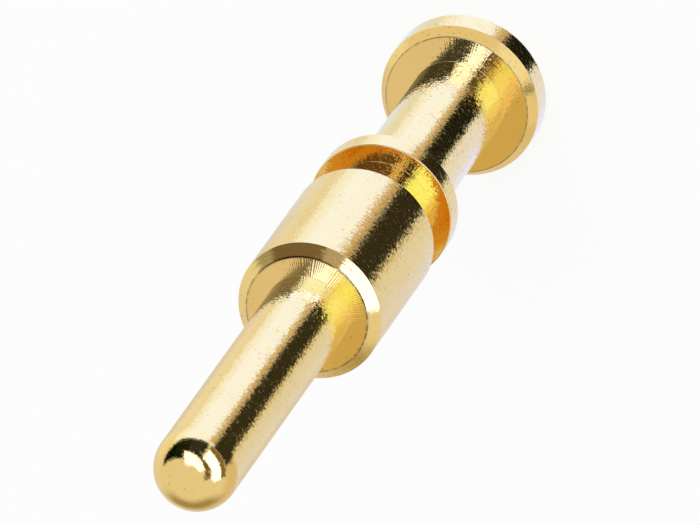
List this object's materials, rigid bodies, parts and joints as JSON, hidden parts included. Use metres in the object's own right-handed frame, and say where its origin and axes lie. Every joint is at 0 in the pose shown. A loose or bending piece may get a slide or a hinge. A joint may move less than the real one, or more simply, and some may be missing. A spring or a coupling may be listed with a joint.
{
  "type": "crimp pin contact",
  "caption": "Gold-plated turned crimp contact with a round-tipped pin, a shouldered body with a retention groove, and a crimp barrel ending in a chamfered collar.",
  "frame": {"origin": "centre of the rear face, the flat ring around the wire entry on which the contact stands", "axes": "+Z along the turning axis toward the mating tip; X and Y are any two directions square to it, since the form is round"},
  "size_m": [0.0038, 0.0038, 0.022],
  "materials": {
    "gold_plate": "bright gold plating over turned brass, with fine turning marks"
  },
  "bodies": {
    "root": {"contact": "gold_plate"}
  },
  "joints": []
}
